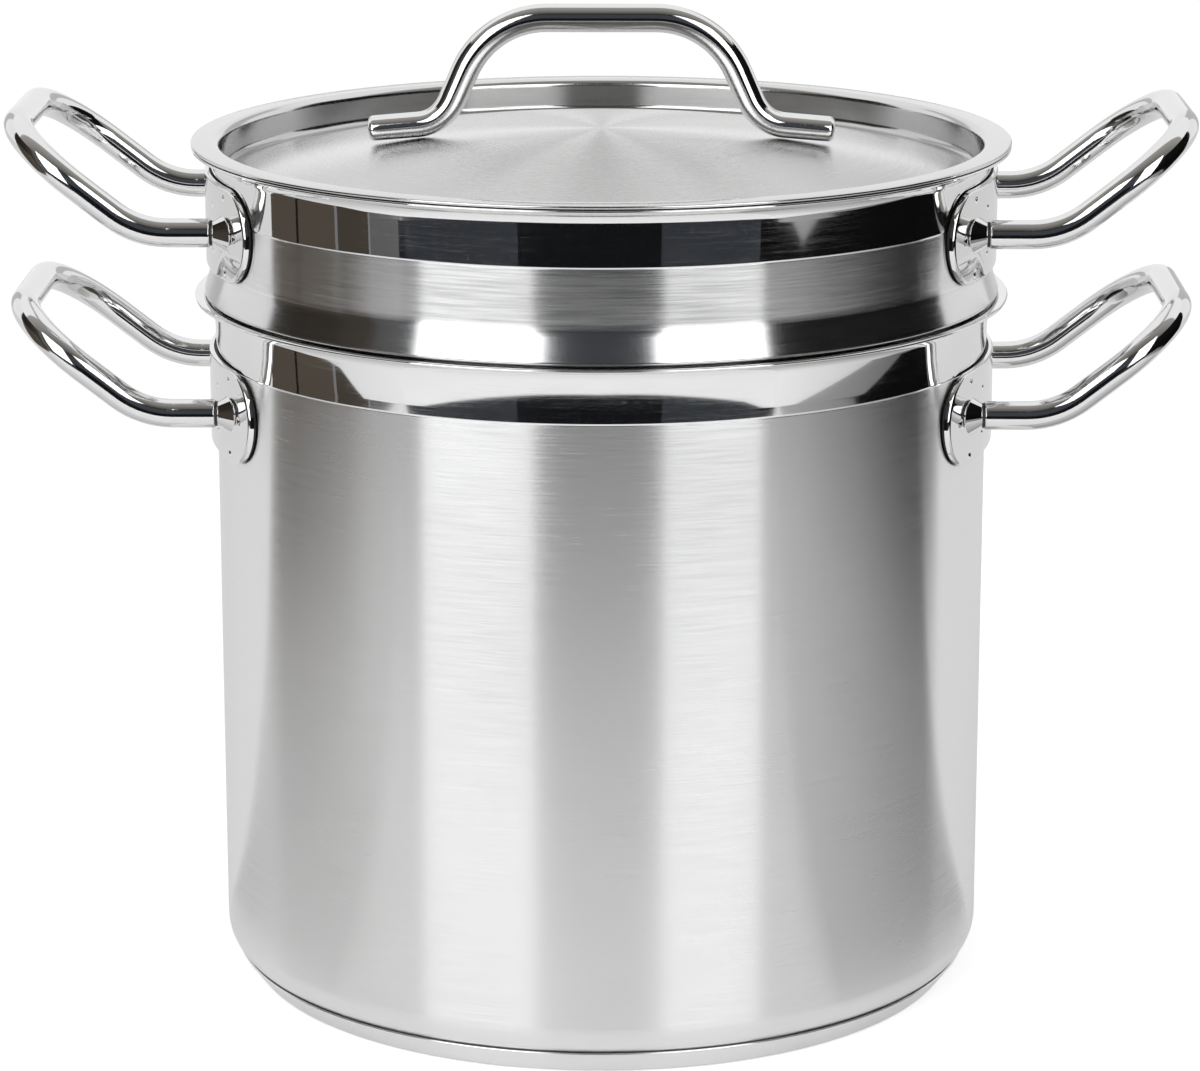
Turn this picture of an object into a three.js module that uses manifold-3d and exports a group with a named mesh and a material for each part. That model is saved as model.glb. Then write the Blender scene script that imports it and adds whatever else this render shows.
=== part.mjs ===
// Stainless-steel pasta pot: a tall pot with a closed-in heat-spreading base, a perforated insert
// that hangs from the pot's rim, and a recessed lid that sits on the insert.
// Millimetres, +Z up. The origin is the centre of the underside, and the handles lie along X.
import * as THREE from 'three';
import { mergeVertices } from 'three/addons/utils/BufferGeometryUtils.js';
import Module from 'manifold-3d';

const wasm = await Module();
wasm.setup();

// Pot
const potRadius = 130; // outside of the wall
const potHeight = 236; // table to the top of the rim
const potSheet = 1;
const potCornerBend = 12; // outside of the bottom corner
const potRimWidth = 6.8; // how far the rim stands out from the wall
const potRimBend = 3.6;
const potFlare = 1.3; // how far the wall leans out on its way up to the rim
const potFlareHeight = 9; // start of the lean up to the underside of the rim
const potFlareBend = 12;

// Heat-spreading base under the pot
const floorHeight = 6; // table to the underside of the pot's floor
const capSheet = 0.8;
const capFootInset = 10; // from the pot's wall in to the foot of the cap
const capFootBend = 2;
const capSeamAngle = 50; // degrees round the pot's bottom corner, where the cap's edge meets it
const coreInset = 3; // from the foot of the cap in to the edge of the core

// Insert
const insertSheet = 1;
const collarOverhang = 0.4; // how far the solid collar stands out beyond the pot's wall
const collarHead = 2.2; // plain wall between the plates and the bend under the rim
const collarRimWidth = 6.6;
const collarRimBend = 4.6;
const footFlare = 3.5; // how far the collar leans out on its way down to the step
const footHeight = 10.8; // step up to the end of the lean, where the handles' plates start
const footBend = 1.6; // where the step turns up into the lean
const footTopBend = 12;
const basketClearance = 5; // between the basket and the inside of the pot's wall
const basketFloorGap = 39; // between the basket's floor and the pot's floor
const basketCornerBend = 15;
const stepBend = 2.5; // where the basket turns out into the step

// Perforation of the basket
const holeDiameter = 8;
const holeColumns = 24;
const holeRowPitch = 22;
const holeRowStart = 24; // basket's floor to the lowest row
const holeBandTop = 40; // plain band between the highest row and the step
const floorHolePitch = 28;
const floorHoleMargin = 8; // between the floor's outer holes and the start of the corner's bend

// Lid
const lidSheet = 1.2;
const lidClearance = 0.8; // between the recess wall and the inside of the collar
const lidRimOverhang = 0.1; // how far the lid's rim stands out beyond the insert's
const lidRimBend = 1.5;
const lidRecess = 12.5; // top of the lid's rim down to the edge of its floor
const lidCornerBend = 4;
const domeRadius = 550;

// Bars and the plates that carry them
const barDiameter = 9.5;
const handleSpan = 96; // between the centres of a side handle's two legs
const legLength = 24; // boss to the knee's corner point
const gripReach = 52.4; // knee's corner point to the outer bar, along the slope
const gripTilt = 38; // degrees above level
const kneeBend = 29;
const gripBend = 28;
const potHandleDrop = 33.7; // top of the pot's rim down to the legs of its handles
const plateSheet = 2;
const plateHeight = 31;
const plateEnd = 21.5; // leg's centre to the end of the plate, along the wall
const bossHeight = 3; // plate to the boss's tip, at the leg's centre
const bossBaseDiameter = 18;
const bossTipDiameter = 8.4;

// Lid handle
const lidGripLength = 75.2; // between the grip's corner points
const lidLegRun = 14.9; // grip's corner point out to the knee's, along X
const lidFootLength = 24.7; // knee's corner point out to the end of the foot, along X
const lidGripHeight = 39.3; // top of the lid's rim up to the centre of the grip
const lidKneeBend = 15;
const lidGripBend = 30;

// Shared
const seatGap = 0.3; // between pieces that rest on each other or are welded together
const roundSegments = 48; // facets round the pot
const bendSteps = 3; // facets round a sheet's bend
const domeSteps = 6;
const barSides = 10;
const barStepLength = 7.5;
const bossSides = 16;
const holeSides = 6;
const plateEndSteps = 6;
const weldTolerance = 1e-4;

// Heights and radii that follow from the sizes above
const stepHeight = potHeight + seatGap;
const plateBottom = stepHeight + footHeight;
const insertTop = plateBottom + plateHeight + collarHead + collarRimBend + insertSheet;
const lidTop = insertTop + seatGap + lidSheet;
const potInside = potRadius - potSheet;
const basketRadius = potInside - basketClearance;
const basketFloor = floorHeight + potSheet + basketFloorGap;
const collarRadius = potRadius + collarOverhang;
const lidWallRadius = collarRadius - insertSheet - lidClearance;
const barRadius = barDiameter / 2;

// Height of the dome's top face at a distance from the axis.
function domeHeight(radius) {
  const edgeRadius = lidWallRadius - lidSheet;
  const sag = (r) => domeRadius - Math.sqrt(domeRadius ** 2 - r ** 2);
  return lidTop - lidRecess + sag(edgeRadius) - sag(radius);
}

// Corner points of a turned section, in radius and height, and of a bar, each with its bend radius.
const corner = (radius, height, bend = 0) => ({ at: new THREE.Vector3(radius, height, 0), bend });
const barCorner = (x, y, z, bend = 0) => ({ at: new THREE.Vector3(x, y, z), bend });

// A line through corner points, each corner rounded to its bend radius.
function bentPath(corners) {
  const path = new THREE.CurvePath();
  let from = corners[0].at;
  for (let i = 1; i < corners.length - 1; i++) {
    const { at, bend } = corners[i];
    const inward = at.clone().sub(corners[i - 1].at).normalize();
    const outward = corners[i + 1].at.clone().sub(at).normalize();
    const turn = inward.angleTo(outward);
    const setback = bend * Math.tan(turn / 2);
    const start = at.clone().addScaledVector(inward, -setback);
    path.add(new THREE.LineCurve3(from, start));
    from = start;
    if (bend > 0) {
      const end = at.clone().addScaledVector(outward, setback);
      const arm = (4 / 3) * Math.tan(turn / 4) * bend; // makes the cubic curve a round arc
      const startArm = start.clone().addScaledVector(inward, arm);
      const endArm = end.clone().addScaledVector(outward, -arm);
      path.add(new THREE.CubicBezierCurve3(start, startArm, endArm, end));
      from = end;
    }
  }
  path.add(new THREE.LineCurve3(from, corners.at(-1).at));
  return path;
}

// Outline of a bent sheet: one face follows the corners, and the other lies a sheet's thickness to its
// left, or to its right where the thickness is negative.
function sheetOutline(corners, sheet) {
  const face = bentPath(corners).getPoints(bendSteps);
  const leftOf = (a, b) => new THREE.Vector2(a.y - b.y, b.x - a.x).normalize();
  const normals = face.slice(1).map((point, i) => leftOf(face[i], point));
  const back = face.map((point, i) => {
    const after = normals[Math.min(i, normals.length - 1)];
    const mirrored = new THREE.Vector2(-after.x, after.y);
    const before = point.x === 0 ? mirrored : normals[Math.max(i - 1, 0)];
    const along = before.clone().add(after).normalize();
    return along.multiplyScalar(sheet / along.dot(after)).add(point);
  });
  return [...face.map((point) => new THREE.Vector2(point.x, point.y)), ...back.reverse()];
}

// An outline of radius and height turned round the pot's axis.
function turned(outline) {
  return new THREE.LatheGeometry(outline, roundSegments).rotateX(Math.PI / 2);
}

function turnedCylinder(radius, low, high) {
  const outline = [[0, low], [radius, low], [radius, high], [0, high]];
  return turned(outline.map(([r, z]) => new THREE.Vector2(r, z)));
}

// A round bar along a bent path.
function bar(corners) {
  const path = bentPath(corners);
  const section = Array.from({ length: barSides }, (_, i) => {
    const angle = (2 * Math.PI * i) / barSides;
    return new THREE.Vector2(barRadius * Math.cos(angle), barRadius * Math.sin(angle));
  });
  const steps = Math.round(path.getLength() / barStepLength);
  return new THREE.ExtrudeGeometry(new THREE.Shape(section), { steps, extrudePath: path });
}

// A geometry as a solid that can be joined and cut.
function solid(geometry) {
  const bare = geometry.clone();
  bare.deleteAttribute('normal');
  bare.deleteAttribute('uv');
  const merged = mergeVertices(bare, weldTolerance);
  const triangles = [];
  for (let i = 0; i < merged.index.count; i += 3) {
    const [a, b, c] = merged.index.array.slice(i, i + 3);
    if (a !== b && b !== c && c !== a) triangles.push(a, b, c);
  }
  const vertProperties = Float32Array.from(merged.attributes.position.array);
  const triVerts = Uint32Array.from(triangles);
  return new wasm.Manifold(new wasm.Mesh({ numProp: 3, vertProperties, triVerts }));
}

function geometryOf(shape) {
  const { vertProperties, triVerts } = shape.getMesh();
  const geometry = new THREE.BufferGeometry();
  geometry.setAttribute('position', new THREE.BufferAttribute(vertProperties, 3));
  geometry.setIndex(new THREE.BufferAttribute(triVerts, 1));
  geometry.computeVertexNormals();
  return geometry;
}

// Pot: floor, wall, lean and flat rim in one drawn sheet.
function potShell() {
  const rimUnder = potHeight - potSheet;
  return turned(sheetOutline([
    corner(0, floorHeight),
    corner(potRadius, floorHeight, potCornerBend),
    corner(potRadius, rimUnder - potFlareHeight, potFlareBend),
    corner(potRadius + potFlare, rimUnder, potRimBend),
    corner(potRadius + potRimWidth, rimUnder),
  ], potSheet));
}

// Steel cap under the base: its slanted side ends against the pot's bottom corner.
function baseCap() {
  const seam = THREE.MathUtils.degToRad(capSeamAngle);
  const seamRadius = potCornerBend + seatGap;
  const edgeRadius = potRadius - potCornerBend + seamRadius * Math.cos(seam);
  const edgeHeight = floorHeight + potCornerBend - seamRadius * Math.sin(seam);
  return turned(sheetOutline([
    corner(0, capSheet),
    corner(potRadius - capFootInset, capSheet, capFootBend),
    corner(edgeRadius, edgeHeight),
  ], -capSheet).reverse());
}

// Aluminium disc between the cap and the pot's floor.
function baseCore() {
  const radius = potRadius - capFootInset - coreInset;
  return turnedCylinder(radius, capSheet + seatGap, floorHeight - seatGap);
}

// Insert: perforated basket, step, collar that leans out at its foot, and flat rim in one drawn sheet.
function insertShell() {
  const rimUnder = insertTop - insertSheet;
  const sheet = turned(sheetOutline([
    corner(0, basketFloor),
    corner(basketRadius, basketFloor, basketCornerBend),
    corner(basketRadius, stepHeight, stepBend),
    corner(collarRadius + footFlare, stepHeight, footBend),
    corner(collarRadius, plateBottom, footTopBend),
    corner(collarRadius, rimUnder, collarRimBend),
    corner(collarRadius + collarRimWidth, rimUnder),
  ], insertSheet));
  const punches = [...wallPunches(), ...floorPunches()].map(solid);
  return geometryOf(punches.reduce((shell, punch) => shell.subtract(punch), solid(sheet)));
}

// Tool that cuts one hole, long enough to pass through the sheet.
function punch() {
  return new THREE.CylinderGeometry(holeDiameter / 2, holeDiameter / 2, 6 * insertSheet, holeSides);
}

// Rows of holes round the basket's wall, each row half a pitch round from the one below.
function wallPunches() {
  const bandHeight = stepHeight - holeBandTop - basketFloor - holeRowStart;
  const rows = Math.floor(bandHeight / holeRowPitch) + 1;
  const pitchAngle = (2 * Math.PI) / holeColumns;
  const facetAngle = (2 * Math.PI) / roundSegments;
  const punches = [];
  for (let row = 0; row < rows; row++) {
    for (let column = 0; column < holeColumns; column++) {
      const angle = (column + (row % 2) / 2) * pitchAngle + facetAngle / 2;
      const height = basketFloor + holeRowStart + row * holeRowPitch;
      punches.push(punch()
        .rotateZ(-Math.PI / 2)
        .translate(basketRadius, 0, height)
        .rotateZ(angle));
    }
  }
  return punches;
}

// Rings of holes in the basket's floor, round one in the middle.
function floorPunches() {
  const reach = basketRadius - basketCornerBend - floorHoleMargin;
  const rings = Math.floor(reach / floorHolePitch);
  const upright = () => punch().rotateX(Math.PI / 2);
  const punches = [upright().translate(0, 0, basketFloor)];
  for (let ring = 1; ring <= rings; ring++) {
    const count = 6 * ring;
    for (let i = 0; i < count; i++) {
      const angle = (2 * Math.PI * i) / count;
      punches.push(upright().translate(ring * floorHolePitch, 0, basketFloor).rotateZ(angle));
    }
  }
  return punches;
}

// Lid: low dome, recess wall and flat rim in one pressed sheet.
function lidShell() {
  const rimUnder = lidTop - lidSheet;
  const dome = Array.from({ length: domeSteps }, (_, i) => {
    const radius = (lidWallRadius * i) / domeSteps;
    return corner(radius, domeHeight(radius) - lidSheet);
  });
  return turned(sheetOutline([
    ...dome,
    corner(lidWallRadius, domeHeight(lidWallRadius) - lidSheet, lidCornerBend),
    corner(lidWallRadius, rimUnder, lidRimBend),
    corner(collarRadius + collarRimWidth + lidRimOverhang, rimUnder),
  ], lidSheet));
}

// Lid handle: its feet lie along the dome, and the grip stands over the lid.
function lidHandle() {
  const onDome = (reach, bend) => {
    const slope = Math.asin(reach / domeRadius);
    const lift = barRadius + seatGap;
    return barCorner(reach + lift * Math.sin(slope), 0, domeHeight(reach) + lift * Math.cos(slope), bend);
  };
  const gripHalf = lidGripLength / 2;
  const kneeReach = gripHalf + lidLegRun;
  const half = [
    onDome(kneeReach + lidFootLength),
    onDome(kneeReach, lidKneeBend),
    barCorner(gripHalf, 0, lidTop + lidGripHeight, lidGripBend),
  ];
  const mirrored = half.map(({ at, bend }) => barCorner(-at.x, at.y, at.z, bend));
  return bar([...mirrored, ...half.reverse()]);
}

// A plate's outer face in X at a distance from the middle of the handle, for a wall of this radius.
const plateFace = (wallRadius) => wallRadius + seatGap + plateSheet;
const plateFaceX = (wallRadius, y) => Math.sqrt(plateFace(wallRadius) ** 2 - y ** 2);
const bossTip = (wallRadius) => plateFaceX(wallRadius, handleSpan / 2) + bossHeight;

// Plate with round ends, wrapped on the wall, with a conical boss under each leg of the handle.
function plate(wallRadius, height) {
  const inner = wallRadius + seatGap;
  const end = plateHeight / 2;
  const legArc = wallRadius * Math.asin(handleSpan / 2 / wallRadius);
  const straight = legArc + plateEnd - end;
  const stadium = new THREE.Shape()
    .absarc(straight, 0, end, -Math.PI / 2, Math.PI / 2)
    .absarc(-straight, 0, end, Math.PI / 2, (3 * Math.PI) / 2)
    .getPoints(plateEndSteps);
  const wrapped = stadium.map(({ x, y }) => new THREE.Vector2(wallRadius * Math.sin(x / wallRadius), y));
  const depth = 2 * wallRadius;
  const across = new THREE.Matrix4().makeBasis(
    new THREE.Vector3(0, 1, 0), new THREE.Vector3(0, 0, 1), new THREE.Vector3(1, 0, 0));
  const prism = new THREE.ExtrudeGeometry(new THREE.Shape(wrapped), { depth, bevelEnabled: false })
    .applyMatrix4(across)
    .translate(0, 0, height);
  const low = height - plateHeight;
  const high = height + plateHeight;
  let shape = solid(turnedCylinder(plateFace(wallRadius), low, high)).intersect(solid(prism));
  const tip = bossTip(wallRadius);
  const coneDepth = tip - plateFaceX(wallRadius, (handleSpan + bossBaseDiameter) / 2);
  for (const side of [-1, 1]) {
    const boss = new THREE.CylinderGeometry(bossTipDiameter / 2, bossBaseDiameter / 2, coneDepth, bossSides)
      .rotateZ(-Math.PI / 2)
      .translate(tip - coneDepth / 2, (side * handleSpan) / 2, height);
    shape = shape.add(solid(boss));
  }
  return geometryOf(shape.subtract(solid(turnedCylinder(inner, low - plateHeight, high + plateHeight))));
}

// Side handle: two level legs, a knee, and a loop that slopes up and out.
function sideHandle(wallRadius, height) {
  const start = bossTip(wallRadius) + seatGap;
  const knee = start + legLength;
  const tilt = THREE.MathUtils.degToRad(gripTilt);
  const gripX = knee + gripReach * Math.cos(tilt);
  const gripZ = height + gripReach * Math.sin(tilt);
  const leg = (y) => [
    barCorner(start, y, height),
    barCorner(knee, y, height, kneeBend),
    barCorner(gripX, y, gripZ, gripBend),
  ];
  return bar([...leg(-handleSpan / 2), ...leg(handleSpan / 2).reverse()]);
}

const brushedSteel = { color: 0xc4c5c7, roughness: 0.32, metalness: 1 };
const polishedSteel = { color: 0xd2d3d5, roughness: 0.1, metalness: 1 };
const aluminium = { color: 0xb4b6ba, roughness: 0.5, metalness: 1 };

function piece(name, geometry, finish) {
  const mesh = new THREE.Mesh(geometry, new THREE.MeshStandardMaterial(finish));
  mesh.name = name;
  return mesh;
}

// Bracket and handle for one side of the pot or insert; the left side is the right one turned half round.
function handleGroup(owner, side, wallRadius, height) {
  const group = new THREE.Group();
  group.add(piece(`${owner}_bracket_${side}`, plate(wallRadius, height), polishedSteel));
  group.add(piece(`${owner}_handle_${side}`, sideHandle(wallRadius, height), polishedSteel));
  group.rotation.z = side === 'left' ? Math.PI : 0;
  return group;
}

const pot = new THREE.Group();
pot.add(piece('pot_shell', potShell(), brushedSteel));
pot.add(piece('base_core', baseCore(), aluminium));
pot.add(piece('base_cap', baseCap(), brushedSteel));

const insert = new THREE.Group();
insert.add(piece('insert_shell', insertShell(), brushedSteel));

for (const side of ['left', 'right']) {
  pot.add(handleGroup('pot', side, potRadius, potHeight - potHandleDrop));
  insert.add(handleGroup('insert', side, collarRadius, plateBottom + plateHeight / 2));
}

const lid = new THREE.Group();
lid.add(piece('lid_shell', lidShell(), brushedSteel));
lid.add(piece('lid_handle', lidHandle(), polishedSteel));

const pastaPot = new THREE.Group();
pastaPot.add(pot, insert, lid);

export default pastaPot;
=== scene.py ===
# A stainless-steel pasta pot with a perforated insert and a recessed lid, dressed round the packed
# CAD frame. Metres, +Z up. The handles lie along X, and the photograph looks along +Y.
import math
from itertools import pairwise

import bmesh
import bpy
from mathutils import Matrix, Vector


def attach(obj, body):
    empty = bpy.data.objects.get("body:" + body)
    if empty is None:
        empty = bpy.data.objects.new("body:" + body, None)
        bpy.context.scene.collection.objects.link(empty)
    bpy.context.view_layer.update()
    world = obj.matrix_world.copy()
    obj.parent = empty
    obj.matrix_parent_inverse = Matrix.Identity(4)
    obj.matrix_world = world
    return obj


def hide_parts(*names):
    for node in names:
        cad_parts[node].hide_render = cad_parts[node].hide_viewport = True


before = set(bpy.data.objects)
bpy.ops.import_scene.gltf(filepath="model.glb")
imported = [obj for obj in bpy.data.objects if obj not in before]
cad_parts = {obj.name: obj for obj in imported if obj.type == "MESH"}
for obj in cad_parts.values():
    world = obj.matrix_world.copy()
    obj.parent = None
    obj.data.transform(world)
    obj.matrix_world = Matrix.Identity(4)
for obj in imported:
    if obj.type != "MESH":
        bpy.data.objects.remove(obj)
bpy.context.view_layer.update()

MM = 0.001

# Pot
POT_RADIUS = 130 * MM  # outside of the wall
POT_HEIGHT = 236 * MM
POT_SHEET = 1 * MM
POT_CORNER_BEND = 12 * MM
POT_RIM_WIDTH = 6.8 * MM
POT_RIM_BEND = 3.6 * MM
POT_FLARE = 1.3 * MM  # how far the wall leans out on its way up to the rim
POT_FLARE_HEIGHT = 9 * MM
POT_FLARE_BEND = 75 * MM
POT_POLISH_LINE = 217.5 * MM  # brushed below, mirror-polished above

# Heat-spreading base
FLOOR_HEIGHT = 6 * MM
CAP_SHEET = 0.8 * MM
CAP_FOOT_INSET = 10 * MM
CAP_FOOT_BEND = 2 * MM
CAP_SEAM_ANGLE = math.radians(50)

# Insert
INSERT_SHEET = 1 * MM
COLLAR_OVERHANG = 0.4 * MM
COLLAR_FLARE = 3.5 * MM  # how far the collar leans out on its way down to the step
COLLAR_FLARE_HEIGHT = 10.8 * MM
COLLAR_FLARE_BEND = 12 * MM
COLLAR_FOOT_BEND = 1.1 * MM
COLLAR_HEAD = 2.2 * MM
COLLAR_RIM_WIDTH = 6.6 * MM
COLLAR_RIM_BEND = 4.6 * MM
COLLAR_POLISH_LINE = 266.9 * MM
COLLAR_LEAN = 0.55 * MM  # how far the polished band leans out up to the rim
COLLAR_LEAN_HEIGHT = 11 * MM
COLLAR_LEAN_BEND = 200 * MM
BASKET_CLEARANCE = 5 * MM
BASKET_FLOOR_GAP = 39 * MM
BASKET_CORNER_BEND = 15 * MM
STEP_BEND = 2.5 * MM

# Turned groove under each polished band, with a long upper flank and a short lower one
GROOVE_WIDTH = 0.6 * MM
GROOVE_DEPTH = 0.18 * MM
GROOVE_UPPER = 0.5 * MM

# Perforation of the basket
HOLE_RADIUS = 4 * MM
HOLE_LIP = 0.3 * MM  # chamfer where the punch went in and came out
HOLE_COLUMNS = 24
HOLE_TURN = 1 / 4  # of the pitch, so that odd and even rows mirror each other
HOLE_ROWS = 6
HOLE_ROW_PITCH = 22 * MM
HOLE_ROW_START = 24 * MM  # basket's floor to the lowest row
CELL_HEIGHT = 16 * MM  # stretch of wall that is meshed round each hole
FLOOR_HOLE_RINGS = 3
FLOOR_HOLE_PITCH = 28 * MM
FLOOR_RING_HOLES = 6  # more in each ring than in the one inside it

# Lid
LID_SHEET = 1.2 * MM
LID_CLEARANCE = 0.8 * MM
LID_RIM_OVERHANG = 0.1 * MM
LID_RIM_BEND = 1.5 * MM
LID_RECESS = 12.5 * MM
LID_CORNER_BEND = 4 * MM
DOME_RADIUS = 550 * MM
DOME_STEPS = 40  # the last one is left to the bend at the edge

# Bars and the plates that carry them
BAR_RADIUS = 4.75 * MM
BAR_END_ROUND = 0.45 * MM
WELD_NECK_RADIUS = 4.1 * MM
WELD_NECK_LENGTH = 1.6 * MM
HANDLE_SPAN = 96 * MM
LEG_LENGTH = 24 * MM
GRIP_REACH = 52.4 * MM
GRIP_TILT = math.radians(38)
KNEE_BEND = 29 * MM
GRIP_BEND = 28 * MM
POT_HANDLE_DROP = 33.7 * MM
PLATE_SHEET = 2 * MM
PLATE_SINK = 0.3 * MM  # how far the plate's back lies in the wall's sheet
PLATE_EDGE_ROUND = 0.7 * MM
PLATE_GAP = 0.8 * MM  # open edge between the plate and the wall
PLATE_GAP_DEPTH = 0.8 * MM
PLATE_HEIGHT = 31 * MM
PLATE_END = 21.5 * MM
PLATE_GRID = 0.5 * MM
BOSS_HEIGHT = 3 * MM
BOSS_BASE_RADIUS = 9 * MM
BOSS_TIP_RADIUS = 4.2 * MM
BOSS_TIP_ROUND = 0.5 * MM
BOSS_TIP_DROP = 0.4 * MM  # groove left between the boss and the end of the bar
SPOT_WELDS = 5  # round each boss
SPOT_WELD_CIRCLE = 13 * MM
SPOT_WELD_RADIUS = 1.5 * MM
SPOT_WELD_DEPTH = 0.7 * MM

# Lid handle
LID_GRIP_LENGTH = 75.2 * MM
LID_LEG_RUN = 14.9 * MM
LID_FOOT_LENGTH = 24.7 * MM
LID_GRIP_HEIGHT = 39.3 * MM
LID_KNEE_BEND = 15 * MM
LID_GRIP_BEND = 30 * MM
FOOT_HALF_WIDTH = 5.1 * MM  # the feet are pressed a little flat
FOOT_HALF_HEIGHT = 4.25 * MM
FOOT_END_ROUND = 1.8 * MM
FOOT_FLAT_LENGTH = 20 * MM
FOOT_BLEND_LENGTH = 16 * MM
FOOT_SEAT = 0.8 * MM  # how far the inner end of a foot is pressed down on to the lid

# Fit
SEAT_GAP = 0.3 * MM  # left at each weld, bonded face and seat

# Mesh fineness
ROUND_SEGMENTS = 192
BEND_STEP = math.radians(5)
BEND_MARGIN = 0.2 * MM  # close rows beside each bend keep the faces next to it flat in shade
STRAIGHT_TURN = 1e-5  # a corner that turns by less, in radians, isn't rounded
EDGE_STEPS = 6
BAR_SIDES = 32
BAR_END_STEPS = 3
WELD_FACE = 0.01 * MM  # a weld neck ends this close to the bar's face
FOOT_END_STEPS = 6
FOOT_STEPS = 8
BOSS_SIDES = 64
BOSS_CONE_STEPS = 16
CELL_ACROSS = ROUND_SEGMENTS // HOLE_COLUMNS
CELL_UP = 4
HOLE_SIDES = 2 * (CELL_ACROSS + CELL_UP)
CELL_SHARES = (0.0, 0.35, 0.65, 0.85, 0.96)  # mesh rings from a cell's border to its hole
SHARP_ANGLE = math.radians(40)
WELD_DISTANCE = 0.001 * MM

# Heights and radii that follow from the sizes above
STEP_HEIGHT = POT_HEIGHT + SEAT_GAP
PLATE_BOTTOM = STEP_HEIGHT + COLLAR_FLARE_HEIGHT
INSERT_TOP = PLATE_BOTTOM + PLATE_HEIGHT + COLLAR_HEAD + COLLAR_RIM_BEND + INSERT_SHEET
LID_TOP = INSERT_TOP + SEAT_GAP + LID_SHEET
BASKET_RADIUS = POT_RADIUS - POT_SHEET - BASKET_CLEARANCE
BASKET_FLOOR = FLOOR_HEIGHT + POT_SHEET + BASKET_FLOOR_GAP
HOLE_ROW_HEIGHTS = [BASKET_FLOOR + HOLE_ROW_START + row * HOLE_ROW_PITCH for row in range(HOLE_ROWS)]
COLLAR_RADIUS = POT_RADIUS + COLLAR_OVERHANG
LID_WALL_RADIUS = COLLAR_RADIUS - INSERT_SHEET - LID_CLEARANCE

# Finishes of a piece, in the order of its material slots
WALL_FINISH, BAND_FINISH, FOOT_FINISH, COLLAR_FINISH = range(4)  # pot and insert
DOME_FINISH, RIM_FINISH, RECESS_FINISH = range(3)  # lid
METAL_FINISH, WELD_AND_GAP_SHADE_FINISH = range(2)  # bars and plates

# Photograph's camera: distance from the pot's axis, height, and how far it looks down
IMAGE_WIDTH = 1200
CAMERA_DISTANCE = 1.45596
CAMERA_HEIGHT = 0.52016
CAMERA_PITCH = math.radians(14.305)
CAMERA_AZIMUTH = math.radians(0.7)
CAMERA_FOCAL_PIXELS = 4382.6
CAMERA_CENTRE_X = 601.3
SENSOR_WIDTH = 36.0
CAMERA_REACH = 50.0


# Sections, sweeps and meshes

def corner(radius, height, bend=0.0):
    return Vector((radius, height)), bend


def bar_corner(x, y, z, bend=0.0):
    return Vector((x, y, z)), bend


def bent_line(corners):
    """Points of a line through the corners, each corner rounded to its bend radius."""
    points = [corners[0][0]]
    for (before, _), (at, bend), (after, _) in zip(corners, corners[1:], corners[2:]):
        inward = (at - before).normalized()
        outward = (after - at).normalized()
        turn = inward.angle(outward)
        if bend == 0 or turn < STRAIGHT_TURN:
            points.append(at)
            continue
        side = (outward - inward * math.cos(turn)).normalized()
        reach = bend * math.tan(turn / 2)
        start = at - inward * reach
        steps = math.ceil(turn / BEND_STEP)
        angles = [turn * i / steps for i in range(steps + 1)]
        arc_points = [start + bend * (inward * math.sin(a) + side * (1 - math.cos(a))) for a in angles]
        if (start - points[-1]).length > 2 * BEND_MARGIN:
            points.append(start - inward * BEND_MARGIN)
        points += arc_points
        if (after - at).length - reach > 3 * BEND_MARGIN:
            points.append(arc_points[-1] + outward * BEND_MARGIN)
    return points + [corners[-1][0]]


def offset_line(points, distance):
    """A flat line moved to its left; a point on the axis stays on it."""
    normals = [Vector((a.y - b.y, b.x - a.x)).normalized() for a, b in pairwise(points)]
    moved = []
    for i, point in enumerate(points):
        after = normals[min(i, len(normals) - 1)]
        before = normals[max(i - 1, 0)]
        if point.x == 0:
            before = Vector((-after.x, after.y))
        along = (before + after).normalized()
        moved.append(point + along * (distance / along.dot(after)))
    return moved


def sheet_outline(corners, sheet):
    """Outline of a bent sheet from the axis out to its half-round edge and back. One face goes through
    the corners, and the other lies to its left, or to its right where the sheet is negative."""
    face = bent_line(corners)
    outward = (face[-1] - face[-2]).normalized()
    edge = abs(sheet) / 2
    face[-1] = face[-1] - outward * edge
    back = offset_line(face, sheet)
    across = (back[-1] - face[-1]) / 2
    middle = face[-1] + across
    angles = [math.pi * i / EDGE_STEPS for i in range(1, EDGE_STEPS)]
    tip = [middle - across * math.cos(a) + outward * (edge * math.sin(a)) for a in angles]
    return face + tip + back[::-1]


def grooved(outline, radius, height):
    """The outline of a sheet with a fine groove turned into its outer face, just under a height."""
    at = outline.index(Vector((radius, height)))
    groove = [
        Vector((radius, height - GROOVE_WIDTH - BEND_MARGIN)),
        Vector((radius, height - GROOVE_WIDTH)),
        Vector((radius - GROOVE_DEPTH, height - GROOVE_UPPER)),
        Vector((radius, height)),
        Vector((radius, height + BEND_MARGIN)),
    ]
    return [*outline[:at], *groove, *outline[at + 1:]]


def turn_angles(count):
    """Even steps of a full turn."""
    return [2 * math.pi * k / count for k in range(count)]


def ring(mesh, radius, height):
    if radius == 0:
        return [mesh.verts.new((0, 0, height))]
    angles = turn_angles(ROUND_SEGMENTS)
    return [mesh.verts.new((radius * math.cos(a), radius * math.sin(a), height)) for a in angles]


def bridge(mesh, first, second, finish=0):
    """Faces between two closed loops of vertices; a loop may be a single point."""
    for k in range(max(len(first), len(second))):
        around = (first[k % len(first)], first[(k + 1) % len(first)],
                  second[(k + 1) % len(second)], second[k % len(second)])
        face = mesh.faces.new(list(dict.fromkeys(around)))
        face.material_index = finish


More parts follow.
